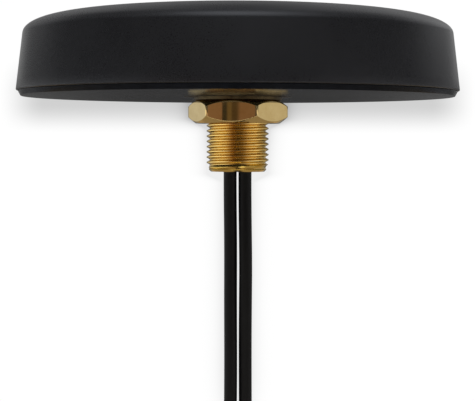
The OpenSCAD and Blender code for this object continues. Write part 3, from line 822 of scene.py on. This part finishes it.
def drift(point, side):
    """A hand-laid cable is never quite straight: it strays a little between the stud and the spread."""
    share = max(0.0, min(1.0, (-15.0 - point.z) / 20.0)) * max(0.0, min(1.0, (point.z + 72.0) / 12.0))
    smooth = share * share * (3 - 2 * share)
    sideways = 0.16 + 0.03 * math.sin(point.z * 0.19 + side)
    return Vector((sideways, 0.25 * math.sin(point.z * 0.11 + 1.3 * side), 0)) * smooth


def make_lead(lead, side):
    """One cable in a single piece, from the housing to its own end."""
    cable = sweep(f"{lead}_coax_cable", lead_path(side), LEAD_R)
    add_piece(cable, JACKET, None, "cable_jacket", f"{lead}_cable", f"{lead}_lead")
    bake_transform(cable)


def make_boot(lead, side):
    """Heat-shrink sleeve drawn tight over the cable and the crimp, a little uneven as shrunk sleeves are.

    Its outlines are (radius, height above BOOT_Z).
    """
    outer = [(1.32, 9.0), (1.5, 8.97), (1.62, 8.8), (1.66, 8.3), (1.67, 6.5), (1.68, 4.6), (1.72, 3.9),
             (1.84, 3.35), (2.02, 2.95), (2.11, 2.6), (2.14, 2.0), (2.13, -1.0), (2.13, -3.6), (2.1, -4.3),
             (2.02, -4.65), (1.9, -4.78)]
    inner = [(1.79, -4.76), (1.79, 2.5), (1.3, 2.56), (1.3, 8.9)]
    verts, faces = lathe([(r, BOOT_Z + z) for r, z in outer + inner], 64)
    uneven = []
    for x, y, z in verts:
        r, turn = math.hypot(x, y), math.atan2(y, x)
        swell = 0.012 * math.sin(3 * turn + z) + 0.01 * math.sin(2.3 * z + turn) if r > 1.4 else 0.0
        stretch = 1 + swell / r
        uneven.append((x * stretch + side * PLUG_X, y * stretch, z))
    boot = make_object(f"{lead}_heat_shrink", uneven, faces, sharp=50)
    add_piece(boot, SHRINK, f"{lead}_lead_end", "heat_shrink", f"{lead}_boot")


def make_coupling(lead, side):
    """Hexagonal coupling nut with a groove near its mouth and a fine thread inside."""
    mouth, back = (corner.z for corner in span(f"{lead}_coupling_nut"))
    centre = (side * PLUG_X, 0)
    sides = 96
    hex_radius = hexagon(COUPLING_AF, 0.0)
    edge_r, slope = 3.76, math.tan(math.radians(35))
    pitch = 0.7056
    crest, root = 2.98, 3.3
    profile = [(0.0, crest), (0.08, crest), (0.3, root), (0.4, root), (0.62, crest)]
    thread_top = mouth + 4.6
    groove = mouth + 1.0

    def drop(angle):
        return (hex_radius(angle) - edge_r) * slope

    def limit(z, r):
        return max(r, crest, crest + 0.42 - (z - mouth))

    def groove_radius(angle):
        return min(hex_radius(angle), 3.75)

    verts, faces = [], []
    low, high = helical_band(verts, faces, profile, mouth, thread_top, limit, sides, 0.0, pitch, centre)
    rings = [low]
    for radius, z in ((edge_r, mouth), (hex_radius, lambda a: mouth + drop(a)), (hex_radius, groove + 0.02),
                      (groove_radius, groove + 0.06), (groove_radius, groove + 0.26),
                      (hex_radius, groove + 0.3), (hex_radius, lambda a: back - drop(a)), (edge_r, back),
                      (2.55, back), (2.42, back - 0.12), (2.42, back - 0.9), (2.76, back - 0.92),
                      (2.76, back - 1.78), (2.42, back - 1.8), (2.42, thread_top + 0.12),
                      (2.5, thread_top + 0.02)):
        rings.append(add_ring(verts, sides, 0.0, radius, z, centre))
    rings.append(high)
    for one, two in zip(rings, rings[1:]):
        add_band(faces, one, two)
    nut = make_object(f"{lead}_coupling", verts, faces, sharp=24)

    def outer_edge(at, angle):
        in_groove = groove - 0.05 < at.z < groove + 0.35
        return angle > 20 and math.hypot(at.x - centre[0], at.y) > 3.85 and not in_groove

    bevel_edges(nut, outer_edge, 0.06)
    add_piece(nut, GOLD[lead], f"{lead}_coupling", "gold_plate", f"{lead}_coupling_nut")


for lead, side in SIDES.items():
    make_lead(lead, side)
    make_boot(lead, side)
    make_coupling(lead, side)


# ---------------------------------------------------------------- stage, light and camera

FLOOR_HALF = 1500
FLOOR_Z = -125.0
BACKDROP_Y = 52.0
BACKDROP_HALF = 300
BACKDROP_Z = -10.0


def floor_paper():
    """Matt white that shows only from its front, and fades out towards its edge."""
    s = Shader("floor_white")
    matt = s.node("ShaderNodeBsdfDiffuse", {"Color": (0.9, 0.9, 0.9)}).outputs[0]
    away = s.vector("LENGTH", s.place)
    faded = s.ramp(away, FLOOR_HALF * 0.6, FLOOR_HALF, smooth=True)
    behind = s.node("ShaderNodeNewGeometry").outputs["Backfacing"]
    return s.finish_sheet(matt, s.math("MAXIMUM", behind, faded))


def backdrop_paper():
    """White paper close behind the antenna, glowing, with a soft shadow painted into its glow. It shows only
    to an eye straight in front.

    The painted shadow lies under the housing, and a painted halo of shade lies round the stud and leads. The
    sheet's Y is up.
    """
    s = Shader("backdrop_paper")
    x, y, _ = s.split(s.place)
    x = s.math("ABSOLUTE", x)
    z = s.math("ADD", y, BACKDROP_Z)
    # Painted shadow under the housing: the paper dims just below the disc and fades out above it and to the
    # sides.
    below_top = s.ramp(z, 2.0, 12.0, 1, 0, smooth=True)
    under = s.math("MULTIPLY", s.ramp(z, -7.2, 0.2, smooth=True), s.ramp(x, 43.5, 55.0, 1, 0, smooth=True))
    under = s.math("MULTIPLY", under, below_top)
    # Painted halo of shade round the nut, stud and leads. It fades with distance from their outline.
    half_width = s.math("ADD", s.ramp(z, -18.0, -15.5, 3.4, 7.0, smooth=True),
                        s.ramp(z, -6.0, -3.0, 0.0, 4.3, smooth=True))
    away = s.math("MAXIMUM", s.math("SUBTRACT", x, half_width), 0.0)
    painted_halo_shadow = s.math("POWER", 2.718, s.math("MULTIPLY", away, -0.62))
    painted_halo_shadow = s.math("MULTIPLY", painted_halo_shadow, s.ramp(z, -14.0, -2.0, 0.16, 0.3, smooth=True))
    painted_halo_shadow = s.math("MULTIPLY", painted_halo_shadow, s.math("MULTIPLY", below_top, s.ramp(z, -80.0, -60.0, smooth=True)))
    # The glow, dimmed by the painted shadow and the painted halo.
    light = s.math("MULTIPLY", s.math("SUBTRACT", 1.0, s.math("MULTIPLY", under, 0.37)),
                   s.math("SUBTRACT", 1.0, painted_halo_shadow))
    paper = s.node("ShaderNodeEmission", {"Color": s.join(light, light, light), "Strength": 1.01}).outputs[0]
    geometry = s.node("ShaderNodeNewGeometry").outputs
    seen = s.node("ShaderNodeLightPath").outputs["Is Camera Ray"]
    facing = s.vector("DOT_PRODUCT", geometry["Incoming"], (0, -1, 0))
    hidden = s.math("MAXIMUM", geometry["Backfacing"], s.math("SUBTRACT", 1.0, seen))
    hidden = s.math("MAXIMUM", hidden, s.ramp(s.vector("LENGTH", s.place), 140, 240, smooth=True))
    hidden = s.math("MAXIMUM", hidden, s.ramp(facing, 0.935, 0.965, 1, 0, smooth=True))
    return s.finish_sheet(paper, hidden)


def add_sheet(name, half, matrix, material):
    """A square staged sheet, whose front is its local +Z."""
    corners = [(-half, -half, 0), (half, -half, 0), (half, half, 0), (-half, half, 0)]
    sheet = make_object(name, corners, [(0, 1, 2, 3)])
    sheet.matrix_world = matrix
    dress(sheet, material)
    sheet.visible_glossy = False
    return sheet


add_sheet("floor", FLOOR_HALF, Matrix.Translation((0, 0, FLOOR_Z * MM)), floor_paper())
upright = Matrix.Rotation(math.radians(90), 4, "X")
upright.translation = (0, BACKDROP_Y * MM, BACKDROP_Z * MM)
backdrop = add_sheet("backdrop", BACKDROP_HALF, upright, backdrop_paper())
backdrop.visible_diffuse = False
backdrop.visible_shadow = False

# Reflected surroundings. Each list goes once round the part, as (degrees from the camera, brightness, warmth
# if any). Level with the part it is lit paper, broken by the dark camera in front and darker behind. ABOVE
# holds the dimmer room: between its first two numbers, which are heights of the reflected direction, each
# list takes over from the one before.
LEVEL = [(-180, 0.05), (-175, 0.07), (-170, 0.2), (-160, 0.24), (-150, 0.3), (-136, 0.62), (-110, 1.0),
         (-77, 1.25), (-52, 1.05, 0.1), (-39, 0.75, 0.3), (-27, 0.42, 0.7), (-17, 0.2, 1.0),
         (-12, 0.18, 0.9), (-5, 0.12, 0.6), (6, 0.15, 0.5), (17, 0.2, 0.5), (29, 0.42, 0.4),
         (40, 0.68, 0.3), (52, 0.9, 0.15), (79, 1.05, 0.1), (97, 0.62, 0.1), (110, 0.52, 0.1),
         (125, 0.42), (148, 0.25), (170, 0.24), (175, 0.08), (180, 0.05)]
ABOVE = [
    (0.045, 0.085,
     [(-180, 0.1), (-175, 0.14), (-168, 0.6), (-156, 0.6), (-147, 0.28), (-138, 0.12), (-128, 0.1),
      (-112, 0.04), (-98, 0.01), (98, 0.01), (112, 0.03), (123, 0.07), (138, 0.13), (147, 0.3), (156, 0.6),
      (168, 0.6), (175, 0.14), (180, 0.1)]),
    (0.11, 0.24,
     [(-180, 0.22), (-171, 0.34), (-144, 0.35), (-130, 0.42), (-118, 0.25), (-108, 0.1), (-95, 0.05),
      (-60, 0.01), (60, 0.01), (95, 0.05), (108, 0.16), (118, 0.5), (130, 0.62), (148, 0.69), (160, 0.45),
      (171, 0.36), (180, 0.22)]),
    (0.56, 0.66,
     [(-180, 0.15), (-172, 0.2), (-161, 0.42), (-152, 0.3), (-141, 0.1), (-120, 0.08), (-80, 0.15),
      (-50, 0.28), (50, 0.28), (80, 0.15), (115, 0.14), (137, 0.26), (153, 0.4), (162, 0.42), (172, 0.2),
      (180, 0.15)]),
]
BLACK = (0, 0, 0)


class Surroundings(Nodes):
    """The world's nodes: white to the eye, and in reflections the surroundings listed above."""

    def __init__(self):
        world = bpy.data.worlds.new("studio")
        scene.world = world
        world.use_nodes = True
        super().__init__(world.node_tree)
        self.tree.nodes.clear()
        self.x, self.y, self.z = self.split(self.node("ShaderNodeTexCoord").outputs["Generated"])
        self.aside = self.math("ABSOLUTE", self.x)
        self.turn = self.math("ARCTAN2", self.x, self.math("MULTIPLY", self.y, -1.0))
        self.share = self.node("ShaderNodeMath", {0: self.turn, 1: 0.5 / math.pi, 2: 0.5},
                               operation="MULTIPLY_ADD").outputs[0]

    def change(self, low, high, at, a, b):
        """Colour a below low and colour b above high, or the other way round where low is above high."""
        return self.mix(self.ramp(at, low, high, smooth=True), a, b)

    def around(self, stops):
        """The colours of one list, round the part."""
        ramp = self.node("ShaderNodeValToRGB", {0: self.share})
        while len(ramp.color_ramp.elements) < len(stops):
            ramp.color_ramp.elements.new(0.5)
        for element, (degrees, value, *warmth) in zip(ramp.color_ramp.elements, stops):
            warm = sum(warmth)
            element.position = degrees / 360 + 0.5
            element.color = (value, value * (1 - 0.42 * warm), value * (1 - 0.6 * warm), 1)
        return ramp.outputs[0]

    def level(self):
        """The paper all round, with a narrow stand beside the camera and a dimmer strip below."""
        paper = self.around(LEVEL)
        degrees = self.math("MULTIPLY", self.turn, 180 / math.pi)
        stand = self.change(-16.92, -16.8, degrees, (0.04, 0.034, 0.026), (0.13, 0.09, 0.05))
        stand = self.change(-16.68, -16.58, degrees, stand, (0.07, 0.047, 0.028))
        stand = self.change(-17.13, -17.1, degrees, paper, stand)
        paper = self.change(-16.42, -16.15, degrees, stand, paper)
        return self.change(-0.06, -0.12, self.z, paper, self.mix(0.55, paper, (0.05, 0.05, 0.051)))

    def softbox(self):
        """A soft light above the camera."""
        lit = self.change(0.36, 0.85, self.z, BLACK, (1.25, 1.25, 1.25))
        lit = self.change(0.1, 0.5, self.aside, lit, BLACK)
        return self.change(-0.2, -0.06, self.y, lit, BLACK)

    def floor(self):
        """Paper below: neutral near the horizon, warm and dimmer further down, and lit in front."""
        warm = self.change(-0.9, -0.95, self.z, (0.1, 0.075, 0.05), (0.3, 0.23, 0.17))
        warm = self.change(0.06, 0.2, self.aside, warm, (0.4, 0.31, 0.2))
        warm = self.change(-0.5, -0.62, self.z, warm, self.mix(1.0, warm, (0.72, 0.75, 0.82), "MULTIPLY"))
        floor = self.change(-0.3, -0.48, self.z, (0.3, 0.3, 0.305), warm)
        glow = self.change(0.25, 0.7, self.aside, (1.5, 1.47, 1.42), floor)
        glow = self.change(-0.6, -0.3, self.y, glow, floor)
        return self.change(-0.35, -0.5, self.z, glow, floor)

    def finish(self):
        seen = self.level()
        for low, high, stops in ABOVE:
            seen = self.change(low, high, self.z, seen, self.around(stops))
        seen = self.change(0.88, 0.95, self.z, seen, (0.25, 0.25, 0.255))
        seen = self.mix(1.0, seen, self.softbox(), "ADD")
        seen = self.change(-0.2, -0.28, self.z, seen, self.floor())
        studio = self.node("ShaderNodeBackground", {0: seen, 1: 1.0}).outputs[0]
        white = self.node("ShaderNodeBackground", {1: 1.1}).outputs[0]
        eye = self.node("ShaderNodeLightPath").outputs["Is Camera Ray"]
        both = self.node("ShaderNodeMixShader", {0: eye, 1: studio, 2: white}).outputs[0]
        self.node("ShaderNodeOutputWorld", {0: both})


Surroundings().finish()

FILL_PLACE = Vector((0.0, -0.3, 0.9))
fill_data = bpy.data.lights.new("soft_fill", "AREA")
fill_data.shape = "RECTANGLE"
fill_data.size = 1.2
fill_data.size_y = 1.0
fill_data.energy = 9.0
fill = bpy.data.objects.new("soft_fill", fill_data)
scene.collection.objects.link(fill)
fill.location = FILL_PLACE
fill.rotation_euler = (-FILL_PLACE).to_track_quat("-Z", "Y").to_euler()
fill.visible_glossy = False
fill.visible_camera = False

CAMERA_DISTANCE = 282.4
CAMERA_Z = -9.13
CAMERA_TILT = math.radians(-2.164)
CAMERA_ROLL = math.radians(0.15)

camera_data = bpy.data.cameras.new("camera")
camera_data.sensor_width = 36
camera_data.lens = 111.79
camera_data.clip_start = 0.01
camera_data.clip_end = 20
camera = bpy.data.objects.new("camera", camera_data)
scene.collection.objects.link(camera)
camera.location = (0, -CAMERA_DISTANCE * MM, CAMERA_Z * MM)
aimed = Matrix.Rotation(math.pi / 2 + CAMERA_TILT, 3, "X")
camera.rotation_euler = (aimed @ Matrix.Rotation(CAMERA_ROLL, 3, "Z")).to_euler()
scene.camera = camera

scene.view_settings.view_transform = "Standard"
scene.view_settings.look = "None"

bpy.context.view_layer.update()
